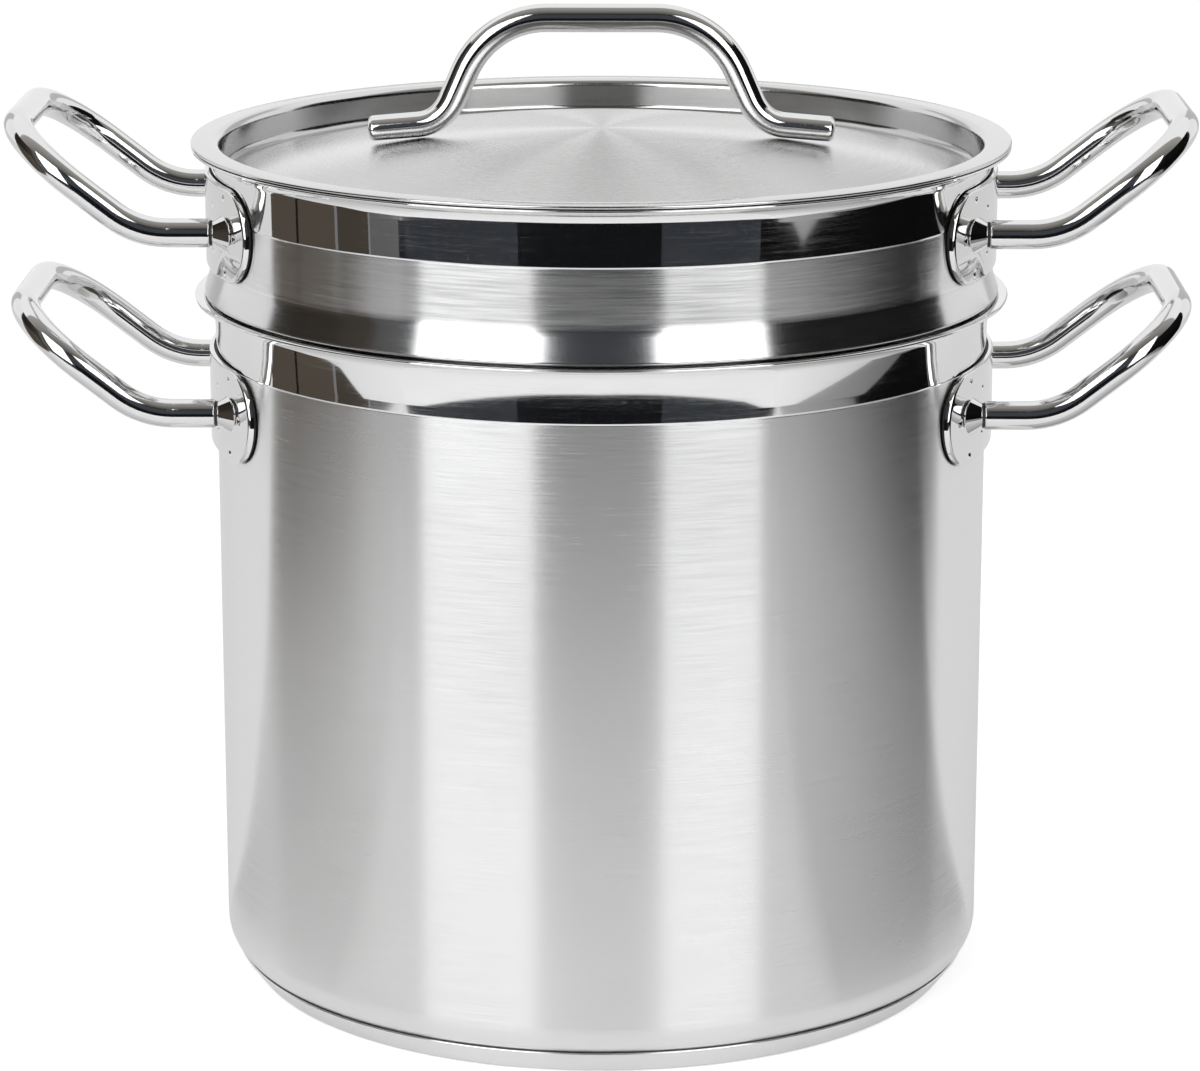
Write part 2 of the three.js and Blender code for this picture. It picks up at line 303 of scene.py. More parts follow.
def spin(mesh, outline, finish_at):
    """Turns an outline of radius and height round the axis. finish_at gives a stretch's finish from its
    middle point, or None where the stretch is left out."""
    rings = [ring(mesh, point.x, point.y) for point in outline]
    for (start, end), (first, second) in zip(pairwise(outline), pairwise(rings)):
        finish = finish_at((start + end) / 2)
        if finish is not None:
            bridge(mesh, first, second, finish)


def sweep(mesh, stations, across, sides):
    """A closed tube through stations of centre, half width and half height."""
    centres = [centre for centre, _, _ in stations]
    steps = [(b - a).normalized() for a, b in pairwise(centres)]
    tangents = [steps[0], *[(a + b).normalized() for a, b in pairwise(steps)], steps[-1]]
    angles = turn_angles(sides)
    loops = []
    last = tangents[0]
    for (centre, half_width, half_height), tangent in zip(stations, tangents):
        across = last.rotation_difference(tangent) @ across
        up = tangent.cross(across)
        last = tangent
        loops.append([
            mesh.verts.new(centre + across * (half_width * math.cos(a)) + up * (half_height * math.sin(a)))
            for a in angles
        ])
    for first, second in pairwise(loops):
        bridge(mesh, first, second)
    mesh.faces.new(loops[0])
    mesh.faces.new(loops[-1])


def finished(name, mesh, finishes, body, node):
    """Closes a mesh into a piece that rides on a body and stands for a CAD node."""
    bmesh.ops.remove_doubles(mesh, verts=mesh.verts, dist=WELD_DISTANCE)
    loose = [vert for vert in mesh.verts if not vert.link_faces]
    bmesh.ops.delete(mesh, geom=loose, context="VERTS")
    bmesh.ops.recalc_face_normals(mesh, faces=mesh.faces)
    for face in mesh.faces:
        face.smooth = True
    data = bpy.data.meshes.new(name)
    mesh.to_mesh(data)
    mesh.free()
    data.set_sharp_from_angle(angle=SHARP_ANGLE)
    for finish in finishes:
        data.materials.append(finish)
    piece = bpy.data.objects.new(name, data)
    bpy.context.scene.collection.objects.link(piece)
    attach(piece, body)
    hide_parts(node)


# Materials

def new_material(name):
    material = bpy.data.materials.new(name)
    material.use_nodes = True
    return material, material.node_tree, material.node_tree.nodes["Principled BSDF"]


def new_metal(name):
    material, tree, shader = new_material(name)
    shader.inputs["Metallic"].default_value = 1.0
    return material, tree, shader


def add_node(tree, kind, links=(), values=(), **settings):
    """A node with its settings, with values on its sockets and links from other nodes' sockets."""
    node = tree.nodes.new(kind)
    for key, value in settings.items():
        setattr(node, key, value)
    for key, value in dict(values).items():
        node.inputs[key].default_value = value
    for key, socket in dict(links).items():
        tree.links.new(socket, node.inputs[key])
    return node


def turned_grain(tree, fineness, length, detail):
    """Noise drawn out round the pot's axis: fine across the grain, and long along it."""
    place = add_node(tree, "ShaderNodeTexCoord").outputs["Object"]
    apart = add_node(tree, "ShaderNodeSeparateXYZ", {"Vector": place})
    level = add_node(tree, "ShaderNodeCombineXYZ", {"X": apart.outputs["X"], "Y": apart.outputs["Y"]})
    level = level.outputs["Vector"]
    radius = add_node(tree, "ShaderNodeVectorMath", {0: level}, operation="LENGTH").outputs["Value"]
    heading = add_node(tree, "ShaderNodeVectorMath", {0: level}, operation="NORMALIZE")
    heading = add_node(tree, "ShaderNodeVectorMath", {0: heading.outputs["Vector"]},
                       {"Scale": length}, operation="SCALE").outputs["Vector"]
    out = add_node(tree, "ShaderNodeMath", {0: radius}, {1: fineness}, operation="MULTIPLY")
    up = add_node(tree, "ShaderNodeMath", {0: apart.outputs["Z"]}, {1: fineness}, operation="MULTIPLY")
    out = add_node(tree, "ShaderNodeCombineXYZ", {"Z": out.outputs["Value"]})
    where = add_node(tree, "ShaderNodeVectorMath", {0: heading, 1: out.outputs["Vector"]}, operation="ADD")
    return add_node(tree, "ShaderNodeTexNoise",
                    {"Vector": where.outputs["Vector"], "W": up.outputs["Value"]},
                    {"Scale": 1.0, "Detail": detail, "Roughness": 0.6},
                    noise_dimensions="4D").outputs["Fac"]


def cloud(tree, scale, detail):
    """Even noise for marks, wear and waves."""
    place = add_node(tree, "ShaderNodeTexCoord").outputs["Object"]
    return add_node(tree, "ShaderNodeTexNoise", {"Vector": place},
                    {"Scale": scale, "Detail": detail}).outputs["Fac"]


def ranged(tree, socket, low, high):
    """A 0 to 1 pattern spread between two values; the middle half of noise fills most of the range."""
    return add_node(tree, "ShaderNodeMapRange", {"Value": socket},
                    {"From Min": 0.3, "From Max": 0.7, "To Min": low, "To Max": high}).outputs["Result"]


def tinted(tree, shader, socket, dark, light):
    """Base colour that follows a pattern from a dark to a light colour."""
    mix = add_node(tree, "ShaderNodeMix", {"Factor": socket}, {"A": (*dark, 1), "B": (*light, 1)},
                   data_type="RGBA")
    tree.links.new(mix.outputs["Result"], shader.inputs["Base Color"])


def grey_tinted(tree, shader, socket, tone):
    dark, light = tone
    tinted(tree, shader, socket, (dark, dark, dark), (light, light, light))


def bumped(tree, shader, socket, strength, depth):
    bump = add_node(tree, "ShaderNodeBump", {"Height": socket}, {"Strength": strength, "Distance": depth})
    tree.links.new(bump.outputs["Normal"], shader.inputs["Normal"])


def added(tree, first, second):
    return add_node(tree, "ShaderNodeMath", {0: first, 1: second}, operation="ADD").outputs["Value"]


def turned_shine(tree, shader, anisotropy):
    """Shine drawn out across grain that runs round the axis."""
    shader.inputs["Anisotropic"].default_value = anisotropy
    shader.inputs["Anisotropic Rotation"].default_value = 0.25
    tangent = add_node(tree, "ShaderNodeTangent", direction_type="RADIAL", axis="Z")
    tree.links.new(tangent.outputs["Tangent"], shader.inputs["Tangent"])


def brushed_steel(name, tone, roughness, fineness, anisotropy=1.0):
    """Steel brushed round the axis, a little worn."""
    material, tree, shader = new_metal(name)
    grain = turned_grain(tree, fineness, length=6.0, detail=4.0)
    worn = cloud(tree, scale=9.0, detail=3.0)
    turned_shine(tree, shader, anisotropy)
    grey_tinted(tree, shader, grain, tone)
    rough = added(tree, ranged(tree, grain, *roughness), ranged(tree, worn, low=-0.02, high=0.02))
    tree.links.new(rough, shader.inputs["Roughness"])
    bumped(tree, shader, grain, strength=0.15, depth=0.02 * MM)
    return material


def polished_steel(name, tone, roughness, wave):
    """Mirror-polished steel: faint buffing marks, and a sheet that isn't perfectly even."""
    material, tree, shader = new_metal(name)
    buffing = cloud(tree, scale=900.0, detail=2.0)
    uneven = cloud(tree, scale=28.0, detail=1.0)
    grey_tinted(tree, shader, uneven, tone)
    rough = added(tree, ranged(tree, buffing, *roughness), ranged(tree, uneven, low=-0.01, high=0.01))
    tree.links.new(rough, shader.inputs["Roughness"])
    bumped(tree, shader, uneven, strength=1.0, depth=wave)
    return material


def buffed_steel(name, tone, roughness, wave):
    """Mirror with fine scratches left round the axis, which catch the light above and below."""
    material, tree, shader = new_metal(name)
    grain = turned_grain(tree, fineness=20000.0, length=6.0, detail=1.0)
    uneven = cloud(tree, scale=28.0, detail=1.0)
    turned_shine(tree, shader, anisotropy=1.0)
    grey_tinted(tree, shader, uneven, tone)
    smooth, rough = roughness
    scratch = add_node(tree, "ShaderNodeMapRange", {"Value": grain},
                       {"From Min": 0.55, "From Max": 0.82, "To Min": smooth, "To Max": rough})
    tree.links.new(scratch.outputs["Result"], shader.inputs["Roughness"])
    bumped(tree, shader, uneven, strength=1.0, depth=wave)
    return material


def weld_and_gap_shade_steel():
    """Dull, near-black steel of the bars' weld necks, and painted shade on the faces in the open gap under
    each plate's edge.
    """
    material, tree, shader = new_metal("weld_and_gap_shade_steel")
    scale = cloud(tree, scale=1500.0, detail=3.0)
    # near-black: the weld necks' colour, and painted shade in the plates' gaps
    tinted(tree, shader, scale, dark=(0.04, 0.038, 0.036), light=(0.10, 0.095, 0.09))
    tree.links.new(ranged(tree, scale, low=0.45, high=0.6), shader.inputs["Roughness"])
    bumped(tree, shader, scale, strength=0.5, depth=0.05 * MM)
    return material


def rolled_aluminium():
    """Plain metal of the disc that is closed in under the pot."""
    material, tree, shader = new_metal("rolled_aluminium")
    grain = turned_grain(tree, fineness=900.0, length=3.0, detail=3.0)
    tinted(tree, shader, grain, dark=(0.5, 0.51, 0.53), light=(0.62, 0.63, 0.65))
    tree.links.new(ranged(tree, grain, low=0.4, high=0.55), shader.inputs["Roughness"])
    bumped(tree, shader, grain, strength=0.3, depth=0.05 * MM)
    return material


# Pot

def pot_sheet(finishes):
    """Floor, wall and flat rim in one drawn sheet; the polished band lies under the rim, outside."""
    rim_under = POT_HEIGHT - POT_SHEET
    outline = sheet_outline([
        corner(0, FLOOR_HEIGHT),
        corner(POT_RADIUS, FLOOR_HEIGHT, POT_CORNER_BEND),
        corner(POT_RADIUS, POT_POLISH_LINE),
        corner(POT_RADIUS, rim_under - POT_FLARE_HEIGHT, POT_FLARE_BEND),
        corner(POT_RADIUS + POT_FLARE, rim_under, POT_RIM_BEND),
        corner(POT_RADIUS + POT_RIM_WIDTH, rim_under),
    ], POT_SHEET)
    outline = grooved(outline, POT_RADIUS, POT_POLISH_LINE)

    def finish_at(middle):
        outside = middle.x > POT_RADIUS - POT_SHEET / 2
        return BAND_FINISH if outside and middle.y > POT_POLISH_LINE - GROOVE_UPPER else WALL_FINISH

    mesh = bmesh.new()
    spin(mesh, outline, finish_at)
    finished("pot_sheet", mesh, finishes, "pot", "pot_shell")


def base_cap(finishes):
    """Steel cap under the base: its slanted side ends against the pot's bottom corner."""
    seam_radius = POT_CORNER_BEND + SEAT_GAP
    edge_radius = POT_RADIUS - POT_CORNER_BEND + seam_radius * math.cos(CAP_SEAM_ANGLE)
    edge_height = FLOOR_HEIGHT + POT_CORNER_BEND - seam_radius * math.sin(CAP_SEAM_ANGLE)
    outline = sheet_outline([
        corner(0, CAP_SHEET),
        corner(POT_RADIUS - CAP_FOOT_INSET, CAP_SHEET, CAP_FOOT_BEND),
        corner(edge_radius, edge_height),
    ], -CAP_SHEET)
    mesh = bmesh.new()
    spin(mesh, outline, lambda middle: WALL_FINISH)
    finished("base_cap_sheet", mesh, finishes, "pot", "base_cap")


# Insert

def insert_sheet(finishes):
    """Perforated basket, step, collar with a flared foot and flat rim in one drawn sheet."""
    rim_under = INSERT_TOP - INSERT_SHEET
    cell_ends = [row + CELL_HEIGHT / 2 * side for row in HOLE_ROW_HEIGHTS for side in (-1, 1)]
    outline = sheet_outline([
        corner(0, BASKET_FLOOR),
        corner(BASKET_RADIUS, BASKET_FLOOR, BASKET_CORNER_BEND),
        *[corner(BASKET_RADIUS, height) for height in cell_ends],
        corner(BASKET_RADIUS, STEP_HEIGHT, STEP_BEND),
        corner(COLLAR_RADIUS + COLLAR_FLARE, STEP_HEIGHT, COLLAR_FOOT_BEND),
        corner(COLLAR_RADIUS, PLATE_BOTTOM, COLLAR_FLARE_BEND),
        corner(COLLAR_RADIUS, COLLAR_POLISH_LINE),
        corner(COLLAR_RADIUS, rim_under - COLLAR_LEAN_HEIGHT, COLLAR_LEAN_BEND),
        corner(COLLAR_RADIUS + COLLAR_LEAN, rim_under, COLLAR_RIM_BEND),
        corner(COLLAR_RADIUS + COLLAR_RIM_WIDTH, rim_under),
    ], INSERT_SHEET)
    outline = grooved(outline, COLLAR_RADIUS, COLLAR_POLISH_LINE)

    def finish_at(middle):
        in_floor = middle.x < BASKET_RADIUS - BASKET_CORNER_BEND
        beside_hole = any(abs(middle.y - row) < CELL_HEIGHT / 4 for row in HOLE_ROW_HEIGHTS)
        if in_floor or (beside_hole and middle.x < POT_RADIUS):
            return None
        if middle.x < COLLAR_RADIUS - INSERT_SHEET / 2:
            return WALL_FINISH
        if middle.y > COLLAR_POLISH_LINE - GROOVE_UPPER:
            return BAND_FINISH
        return FOOT_FINISH if middle.y < PLATE_BOTTOM else COLLAR_FINISH

    mesh = bmesh.new()
    spin(mesh, outline, finish_at)
    for row, height in enumerate(HOLE_ROW_HEIGHTS):
        for column in range(HOLE_COLUMNS):
            wall_cell(mesh, column + (row % 2) / 2, height)
    perforated_floor(mesh)
    finished("insert_sheet", mesh, finishes, "insert", "insert_shell")


def hole_outline(radius):
    """A hole's edge, started so that its points face those of a wall cell's border."""
    start = -math.pi * CELL_UP / HOLE_SIDES
    angles = [start + turn for turn in turn_angles(HOLE_SIDES)]
    return [(radius * math.cos(a), radius * math.sin(a)) for a in angles]


def cell_border():
    """Border of one pitch of the wall, from its lower right corner round to the left."""
    half_width = math.pi * BASKET_RADIUS / HOLE_COLUMNS
    half_height = CELL_HEIGHT / 2
    across = [half_width * (1 - 2 * i / CELL_ACROSS) for i in range(CELL_ACROSS)]
    up = [half_height * (2 * i / CELL_UP - 1) for i in range(CELL_UP)]
    right = [(half_width, t) for t in up]
    top = [(s, half_height) for s in across]
    left = [(-half_width, -t) for t in up]
    bottom = [(-s, -half_height) for s in across]
    return right + top + left + bottom


def wall_cell(mesh, column, height):
    """One pitch of the basket's wall: in from the border to the hole, through the sheet and out again."""
    angle = (column + HOLE_TURN) * 2 * math.pi / HOLE_COLUMNS
    inside = BASKET_RADIUS - INSERT_SHEET
    lip = hole_outline(HOLE_RADIUS + HOLE_LIP)
    hole = hole_outline(HOLE_RADIUS)
    rings = []
    for share in CELL_SHARES:
        pairs = zip(cell_border(), lip)
        rings.append([(a + (s - a) * share, b + (t - b) * share) for (a, b), (s, t) in pairs])
    profile = [
        *[(outline, BASKET_RADIUS) for outline in rings],
        (lip, BASKET_RADIUS),
        (hole, BASKET_RADIUS - HOLE_LIP),
        (hole, inside + HOLE_LIP),
        (lip, inside),
        *[(outline, inside) for outline in reversed(rings)],
    ]
    loops = []
    for outline, radius in profile:
        turns = [(angle + s / BASKET_RADIUS, height + t) for s, t in outline]
        loops.append([mesh.verts.new((radius * math.cos(a), radius * math.sin(a), z)) for a, z in turns])
    for first, second in pairwise(loops):
        bridge(mesh, first, second)


def perforated_floor(mesh):
    """Flat of the basket's floor: rings of holes round one in the middle, cut through both faces."""
    low = BASKET_FLOOR
    high = BASKET_FLOOR + INSERT_SHEET
    flat_radius = BASKET_RADIUS - BASKET_CORNER_BEND
    under = [ring(mesh, flat_radius, low)]
    over = [ring(mesh, flat_radius, high)]
    centres = [(0.0, 0.0)]
    for step in range(1, FLOOR_HOLE_RINGS + 1):
        angles = turn_angles(FLOOR_RING_HOLES * step)
        reach = step * FLOOR_HOLE_PITCH
        centres += [(reach * math.cos(a), reach * math.sin(a)) for a in angles]
    profile = [(HOLE_RADIUS + HOLE_LIP, low), (HOLE_RADIUS, low + HOLE_LIP),
               (HOLE_RADIUS, high - HOLE_LIP), (HOLE_RADIUS + HOLE_LIP, high)]
    for x, y in centres:
        loops = []
        for radius, z in profile:
            loops.append([mesh.verts.new((x + s, y + t, z)) for s, t in hole_outline(radius)])
        for first, second in pairwise(loops):
            bridge(mesh, first, second)
        under.append(loops[0])
        over.append(loops[-1])
    for face_loops in (under, over):
        edges = []
        for loop in face_loops:
            for a, b in zip(loop, loop[1:] + loop[:1]):
                edges.append(mesh.edges.get((a, b)) or mesh.edges.new((a, b)))
        bmesh.ops.triangle_fill(mesh, edges=edges, use_beauty=True, normal=(0, 0, 1))


# Lid

def dome_height(radius):
    def sag(reach):
        return DOME_RADIUS - math.sqrt(DOME_RADIUS ** 2 - reach ** 2)
    return LID_TOP - LID_RECESS + sag(LID_WALL_RADIUS - LID_SHEET) - sag(radius)


def lid_sheet(finishes):
    """Low dome, recess wall and flat rim in one pressed sheet; the dome and the recess wall are brushed.
    """
    rim_under = LID_TOP - LID_SHEET
    radii = [LID_WALL_RADIUS * i / DOME_STEPS for i in range(DOME_STEPS - 1)]
    dome = [corner(radius, dome_height(radius) - LID_SHEET) for radius in radii]
    outline = sheet_outline([
        *dome,
        corner(LID_WALL_RADIUS, dome_height(LID_WALL_RADIUS) - LID_SHEET, LID_CORNER_BEND),
        corner(LID_WALL_RADIUS, rim_under, LID_RIM_BEND),
        corner(COLLAR_RADIUS + COLLAR_RIM_WIDTH + LID_RIM_OVERHANG, rim_under),
    ], LID_SHEET)
    dome_edge = LID_WALL_RADIUS - LID_CORNER_BEND

    def finish_at(middle):
        on_wall = middle.x < LID_WALL_RADIUS + LID_RIM_BEND and middle.y < rim_under - LID_RIM_BEND / 2
        if middle.x < dome_edge:
            return DOME_FINISH
        return RECESS_FINISH if on_wall else RIM_FINISH

    mesh = bmesh.new()
    spin(mesh, outline, finish_at)
    finished("lid_sheet", mesh, finishes, "lid", "lid_shell")


def foot_share(distance):
    """1 along a pressed foot, falling smoothly to 0 where the bar is round again."""
    share = 1 - (distance - FOOT_FLAT_LENGTH) / FOOT_BLEND_LENGTH
    share = min(1.0, max(0.0, share))
    return share * share * (3 - 2 * share)


def foot_end(distance):
    """How much the rounded end of a foot takes off its half width and half height."""
    if distance >= FOOT_END_ROUND:
        return 0.0
    reach = 1 - distance / FOOT_END_ROUND
    return FOOT_END_ROUND * (1 - math.sqrt(1 - reach * reach))


def lid_bar(finish):
    """Bent bar whose pressed feet lie along the dome."""
    def on_dome(reach, bend):
        slope = math.asin(reach / DOME_RADIUS)
        lift = BAR_RADIUS + SEAT_GAP
        x = reach + lift * math.sin(slope)
        return bar_corner(x, 0, dome_height(reach) + lift * math.cos(slope), bend)

    grip_half = LID_GRIP_LENGTH / 2
    knee_reach = grip_half + LID_LEG_RUN
    half = [
        on_dome(knee_reach + LID_FOOT_LENGTH, 0),
        on_dome(knee_reach, LID_KNEE_BEND),
        bar_corner(grip_half, 0, LID_TOP + LID_GRIP_HEIGHT, LID_GRIP_BEND),
    ]
    mirrored = [bar_corner(-at.x, at.y, at.z, bend) for at, bend in half]
    line = with_foot_points(bent_line([*half, *mirrored[::-1]]))
    total = sum((b - a).length for a, b in pairwise(line))
    stations = []
    travelled = 0.0
    for i, point in enumerate(line):
        travelled += (point - line[i - 1]).length if i else 0.0
        distance = min(travelled, total - travelled)
        share = foot_share(distance)
        press = FOOT_SEAT * share * min(1.0, distance / LID_FOOT_LENGTH)
        cut = foot_end(distance)
        half_width = BAR_RADIUS + (FOOT_HALF_WIDTH - BAR_RADIUS) * share - cut
        half_height = BAR_RADIUS + (FOOT_HALF_HEIGHT - BAR_RADIUS) * share - cut
        stations.append((point - Vector((0, 0, press)), half_width, half_height))
    mesh = bmesh.new()
    sweep(mesh, stations, Vector((0, 1, 0)), BAR_SIDES)
    finished("lid_bar", mesh, [finish], "lid", "lid_handle")


def with_foot_points(line):
    """The bar's line with close points at its two rounded ends and even ones along its feet."""
    turns = [math.pi / 2 * i / FOOT_END_STEPS for i in range(1, FOOT_END_STEPS + 1)]
    near = [FOOT_END_ROUND * (1 - math.cos(a)) for a in turns]
    length = (line[1] - line[0]).length
    along = [length * i / FOOT_STEPS for i in range(2, FOOT_STEPS)]
    head = (line[1] - line[0]).normalized()
    tail = (line[-2] - line[-1]).normalized()
    reaches = near + along
    first = [line[0] + head * reach for reach in reaches]
    last = [line[-1] + tail * reach for reach in reversed(reaches)]
    return [line[0], *first, *line[1:-1], *last, line[-1]]


# Handles and their plates, made on the right and turned half round for the left

def plate_face_x(wall_radius, y):
    return math.sqrt((wall_radius + SEAT_GAP + PLATE_SHEET) ** 2 - y ** 2)


def boss_tip_x(wall_radius):
    return plate_face_x(wall_radius, HANDLE_SPAN / 2) + BOSS_HEIGHT


def side_bar(wall_radius, height):
    """Two level legs, a knee, and a loop that slopes up and out; the ends neck in to their welds."""
    start = boss_tip_x(wall_radius) + SEAT_GAP
    knee = start + LEG_LENGTH
    grip_x = knee + GRIP_REACH * math.cos(GRIP_TILT)
    grip_z = height + GRIP_REACH * math.sin(GRIP_TILT)

    def leg(y):
        return [
            bar_corner(start, y, height),
            bar_corner(knee, y, height, KNEE_BEND),
            bar_corner(grip_x, y, grip_z, GRIP_BEND),
        ]

    line = bent_line([*leg(-HANDLE_SPAN / 2), *leg(HANDLE_SPAN / 2)[::-1]])
    end = [(-WELD_NECK_LENGTH, WELD_NECK_RADIUS), (-WELD_FACE, WELD_NECK_RADIUS)]
    for i in range(BAR_END_STEPS + 1):
        angle = math.pi / 2 * i / BAR_END_STEPS
        inset = BAR_END_ROUND * (1 - math.sin(angle))
        end.append((BAR_END_ROUND * (1 - math.cos(angle)), BAR_RADIUS - inset))
    outward = Vector((1, 0, 0))
    first = [(line[0] + outward * reach, radius, radius) for reach, radius in end]
    middle = [(point, BAR_RADIUS, BAR_RADIUS) for point in line[1:-1]]
    last = [(line[-1] + outward * reach, radius, radius) for reach, radius in reversed(end)]
    mesh = bmesh.new()
    sweep(mesh, [*first, *middle, *last], Vector((0, 1, 0)), BAR_SIDES)
    for face in mesh.faces:
        face.material_index = WELD_AND_GAP_SHADE_FINISH if face.calc_center_median().x < start else METAL_FINISH
    return mesh


def stadium(straight, end):
    """Round a plate with round ends: foot point on the middle line and outward direction."""
    along = math.ceil(2 * straight / PLATE_GRID)
    around = math.ceil(math.pi * end / PLATE_GRID)
    feet = [straight * (2 * i / along - 1) for i in range(along)]
    turns = [math.pi * (i / around - 1 / 2) for i in range(around)]
    lower = [(foot, 0.0, -1.0) for foot in feet]
    right = [(straight, math.cos(a), math.sin(a)) for a in turns]
    upper = [(-foot, 0.0, 1.0) for foot in feet]
    left = [(-straight, -math.cos(a), -math.sin(a)) for a in turns]
    return lower + right + upper + left


def spot_weld_sink(u, v, leg_arc):
    """How deep the plate's face is pressed in by the spot welds round each boss."""
    sink = 0.0
    for side in (-1, 1):
        for angle in turn_angles(SPOT_WELDS):
            weld_u = side * (leg_arc + SPOT_WELD_CIRCLE * math.cos(angle))
            reach = math.hypot(u - weld_u, v - SPOT_WELD_CIRCLE * math.sin(angle)) / SPOT_WELD_RADIUS
            if reach < 1:
                sink = SPOT_WELD_DEPTH * (1 + math.cos(math.pi * reach)) / 2
    return sink


def plate(wall_radius, height):
    """Plate with round ends and rounded edges, wrapped on the wall, with its spot welds."""
    end = PLATE_HEIGHT / 2
    leg_arc = wall_radius * math.asin(HANDLE_SPAN / 2 / wall_radius)
    straight = leg_arc + PLATE_END - end
    border = stadium(straight, end)
    thickness = SEAT_GAP + PLATE_SHEET
    flat_reach = end - PLATE_EDGE_ROUND
    flat_steps = math.ceil(flat_reach / PLATE_GRID)
    levels = [(flat_reach * i / flat_steps, thickness) for i in range(flat_steps + 1)]
    for i in range(1, EDGE_STEPS + 1):
        angle = math.pi / 2 * i / EDGE_STEPS
        drop = PLATE_EDGE_ROUND * (1 - math.cos(angle))
        levels.append((flat_reach + PLATE_EDGE_ROUND * math.sin(angle), thickness - drop))
    gap_start = len(levels)
    inset = end - PLATE_GAP_DEPTH
    levels += [(end, PLATE_GAP), (inset, PLATE_GAP), (inset, -PLATE_SINK), (0.0, -PLATE_SINK)]
    mesh = bmesh.new()
    loops = []
    for reach, lift in levels:
        loop = []
        for foot, out_u, out_v in border:
            u = foot + out_u * reach
            v = out_v * reach
            sink = spot_weld_sink(u, v, leg_arc) if lift == thickness else 0.0
            y = wall_radius * math.sin(u / wall_radius)
            x = math.sqrt((wall_radius + lift - sink) ** 2 - y ** 2)
            loop.append(mesh.verts.new((x, y, height + v)))
        loops.append(loop)
    for i, (first, second) in enumerate(pairwise(loops)):
        # the faces in the open gap under the plate's edge get the near-black finish: painted shade
        bridge(mesh, first, second, WELD_AND_GAP_SHADE_FINISH if i >= gap_start else METAL_FINISH)
    for side in (-1, 1):
        boss(mesh, wall_radius, side * HANDLE_SPAN / 2, height)
    return mesh


def boss(mesh, wall_radius, leg_y, height):
    """Conical boss pressed out under one leg of a handle, with a flat rounded tip."""
    tip = boss_tip_x(wall_radius)
    depth = tip - plate_face_x(wall_radius, HANDLE_SPAN / 2 + BOSS_BASE_RADIUS)
    tip -= BOSS_TIP_DROP
    slope = depth / (BOSS_BASE_RADIUS - BOSS_TIP_RADIUS)
    flat = BOSS_TIP_RADIUS - BOSS_TIP_ROUND
    profile = [(0.0, tip), (flat, tip)]
    lean = math.atan(slope)
    for i in range(1, EDGE_STEPS + 1):
        angle = lean * i / EDGE_STEPS
        drop = BOSS_TIP_ROUND * (1 - math.cos(angle))
        profile.append((flat + BOSS_TIP_ROUND * math.sin(angle), tip - drop))
    last_radius, last_x = profile[-1]
    for i in range(1, BOSS_CONE_STEPS + 1):
        radius = last_radius + (BOSS_BASE_RADIUS - last_radius) * i / BOSS_CONE_STEPS
        profile.append((radius, last_x - slope * (radius - last_radius)))
    angles = turn_angles(BOSS_SIDES)
    backing = wall_radius - PLATE_SINK
    loops = [[mesh.verts.new((tip, leg_y, height))]]
    for radius, x in profile[1:]:
        loop = []
        for a in angles:
            y = leg_y + radius * math.cos(a)
            floor_x = math.sqrt(backing ** 2 - y ** 2)
            loop.append(mesh.verts.new((max(x, floor_x), y, height + radius * math.sin(a))))
        loops.append(loop)
    for first, second in pairwise(loops):
        bridge(mesh, first, second)
    back = math.sqrt(backing ** 2 - leg_y ** 2)
    bridge(mesh, loops[-1], [mesh.verts.new((back, leg_y, height))])


def side_pieces(owner, wall_radius, height, bar_finish, plate_finish, weld_and_gap_shade_finish):
    """The bars and plates of the pot or the insert."""
    kinds = (("bar", "handle", side_bar, bar_finish), ("plate", "bracket", plate, plate_finish))
    for side, turn in (("left", math.pi), ("right", 0.0)):
        for kind, node, made, finish in kinds:
            mesh = made(wall_radius, height)
            bmesh.ops.rotate(mesh, verts=mesh.verts, cent=(0, 0, 0), matrix=Matrix.Rotation(turn, 3, "Z"))
            finished(f"{owner}_{kind}_{side}", mesh, [finish, weld_and_gap_shade_finish],
                     owner, f"{owner}_{node}_{side}")


# Studio

FLOOR_RADII = (2 * MM, 0.3, 6.0)  # mesh rings
FLOOR_PAINT = (0.8, 0.8, 0.8, 1.0)
FLOOR_GLOW = 0.14  # added where the floor is looked at or mirrored
FLOOR_CAMERA_GLOW = 0.34  # added on top for the camera
WORLD_LEVEL = 0.64  # even light on rough surfaces
SOFTBOX_DISTANCE = 2.0
SOFTBOX_HEIGHT = 1.0
SOFTBOX_TALL = 1.9
SOFTBOX_AIM = 0.15  # height on the pot's axis that the lights face
# Name, azimuth, width and power of each light
SOFTBOXES = [("left_softbox", -34.5, 1.35, 20.5), ("right_softbox", 32.3, 1.165, 16.2)]
ROOM_RADIUS = 3.2
ROOM_HEIGHT = 2.4
CEILING_BACK = 0.3  # how far behind the pot's axis the dark part of the ceiling ends
CARD_LIFT = 0.5 * MM
STAGE_SEGMENTS = 48
ANGLE_SLACK = 1e-6
WALL_SPLIT = 0.5  # height at which the walls change their tone
PALE = 0.95
SHADE = 0.55
CEILING_FRONT = -2.6  # the ceiling brightens from here to its back edge
CEILING_DARK = 0.03
CEILING_LIGHT = 0.4
WARM = (1.0, 0.96, 0.9)
BROWN = (1.2, 1.0, 0.8)
COOL = (0.86, 0.94, 1.1)
NEUTRAL = (1.0, 1.0, 1.0)
# Polished steel shows the floor as a white table in a darker room. Its edge and that of the grey floor
# beside it are corners of azimuth and reach, joined by straight lines. Azimuth 0 is at the front, and
# positive azimuths, in degrees, go to the right.
TABLE_EDGE = [(-107, 0.62), (-76, 0.70), (-68, 1.0), (-56, 1.14), (-52, 1.03), (0, 0.695), (40, 0.85),
              (50, 1.12), (101, 0.60), (106, 0.72), (114, 1.2)]
GREY_EDGE = [(50, 1.13), (58, 1.34), (76, 1.08), (101, 0.61)]
GREY_LEVELS = (0.42, 0.1)  # at the front and the back end of the grey floor
